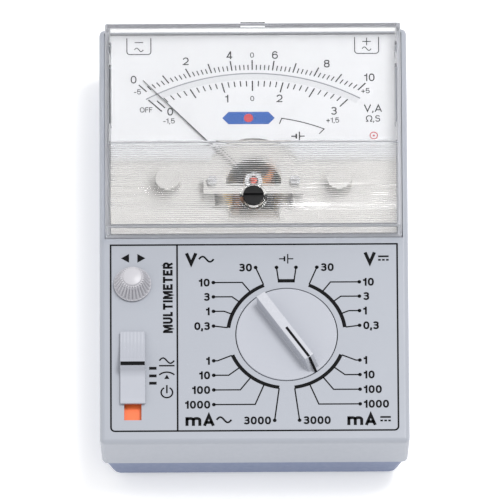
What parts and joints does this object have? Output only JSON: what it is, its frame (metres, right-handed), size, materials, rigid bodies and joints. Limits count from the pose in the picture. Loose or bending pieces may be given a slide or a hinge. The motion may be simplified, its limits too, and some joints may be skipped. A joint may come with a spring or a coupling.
{
  "type": "analog multimeter",
  "caption": "Hand-held analog multimeter: rectangular two-shell case, moving-coil movement under a clear cover, rotary range knob, zero knob and power slider.",
  "frame": {"origin": "centre of the footprint, on the plane of the four feet", "axes": "+Z out of the face with the dial, +Y along the length to the end with the two sockets, +X to the right of someone reading the dial"},
  "size_m": [0.0998, 0.1478, 0.0396],
  "materials": {
    "case_grey": "light grey moulded ABS, fine satin texture",
    "case_blue": "blue-grey moulded ABS, fine satin texture",
    "clear_plastic": "clear moulded polystyrene, polished",
    "knob_grey": "grey moulded ABS, satin",
    "white_plastic": "natural white moulded plastic",
    "dial_white": "white lacquered plate, matt",
    "black_plastic": "black moulded plastic",
    "pointer_black": "matt black lacquer",
    "orange_plastic": "orange plastic strip",
    "brown_laminate": "brown phenolic",
    "board_green": "green solder mask",
    "part_blue": "blue moulded case",
    "part_amber": "amber dipped resin",
    "steel": "bright steel",
    "brass": "bright brass",
    "red_screw": "reddish lacquered screw",
    "copper_wire": "enamelled copper wire",
    "fuse_glass": "glass tube with plated caps",
    "battery_wrap": "dark wrap over a steel can"
  },
  "bodies": {
    "case": {"amplifier_chip": "black_plastic", "battery": "battery_wrap", "battery_plate": "steel", "battery_spring": "steel", "board_screw_1": "steel", "board_screw_2": "steel", "bottom_bridge": "brass", "bridge_screw_1": "steel", "bridge_screw_2": "steel", "capacitor": "part_blue", "case_screw_1": "steel", "case_screw_2": "steel", "case_screw_3": "steel", "case_screw_4": "steel", "circuit_board": "board_green", "clear_cover": "clear_plastic", "contact_tracks": "brass", "core_bracket": "brass", "core_magnet": "steel", "detent_spring": "steel", "dial_plate": "dial_white", "front_shell": "case_grey", "fuse": "fuse_glass", "fuse_holder": "brass", "lower_hairspring": "brass", "lower_jewel_screw": "brass", "magnet_yoke": "steel", "meter_carrier": "white_plastic", "meter_terminals": "brown_laminate", "minus_contact": "brass", "minus_meter_lead": "black_plastic", "minus_socket": "black_plastic", "minus_socket_lead": "black_plastic", "on_indicator": "orange_plastic", "plus_contact": "brass", "plus_meter_lead": "black_plastic", "plus_socket": "black_plastic", "plus_socket_lead": "black_plastic", "rear_shell": "case_blue", "resistor_network": "part_amber", "slide_switch_body": "black_plastic", "top_bridge": "white_plastic", "trimmer": "part_blue", "upper_hairspring": "brass", "upper_jewel_screw": "red_screw", "zero_pot_body": "black_plastic"},
    "range_knob": {"range_knob": "knob_grey", "range_rotor": "white_plastic", "wiper_contacts": "brass", "detent_ring": "white_plastic"},
    "pointer": {"pointer": "pointer_black", "moving_coil": "copper_wire", "upper_spindle": "steel", "lower_spindle": "steel"},
    "zero_screw": {"zero_screw": "black_plastic"},
    "zero_lever": {"zero_lever": "steel"},
    "zero_knob": {"zero_knob": "knob_grey", "zero_pot_shaft": "white_plastic"},
    "power_slider": {"slider_cap": "knob_grey"},
    "battery_cover": {"battery_cover": "case_blue"}
  },
  "joints": [
    {"name": "range_knob_turn", "type": "hinge", "parent": "case", "child": "range_knob", "pos_m": [0.01045, -0.0358, 0.0286], "axis": [0, 0, 1], "continuous": true},
    {"name": "pointer_swing", "type": "hinge", "parent": "case", "child": "pointer", "pos_m": [0, 0.0162, 0.0336], "axis": [0, 0, -1], "range_deg": [-4, 92], "stiffness_Nm_per_rad": 0.00002},
    {"name": "zero_screw_turn", "type": "hinge", "parent": "case", "child": "zero_screw", "pos_m": [0, 0.0101, 0.0375], "axis": [0, 0, 1], "range_deg": [-45, 45]},
    {"name": "zero_lever_turn", "type": "hinge", "parent": "case", "child": "zero_lever", "pos_m": [0, 0.0162, 0.0361], "axis": [0, 0, 1], "range_deg": [-7.5, 7.5]},
    {"name": "zero_knob_turn", "type": "hinge", "parent": "case", "child": "zero_knob", "pos_m": [-0.0393, -0.0179, 0.031], "axis": [0, 0, 1], "range_deg": [-140, 140]},
    {"name": "power_slide", "type": "slide", "parent": "case", "child": "power_slider", "axis": [0, -1, 0], "range_m": [0, 0.0052]},
    {"name": "battery_cover_lift", "type": "slide", "parent": "case", "child": "battery_cover", "axis": [0, 0, -1], "range_m": [0, 0.012]}
  ],
  "couplings": [
    {"joint": "zero_lever_turn", "follows": "zero_screw_turn", "ratio": -0.151}
  ]
}
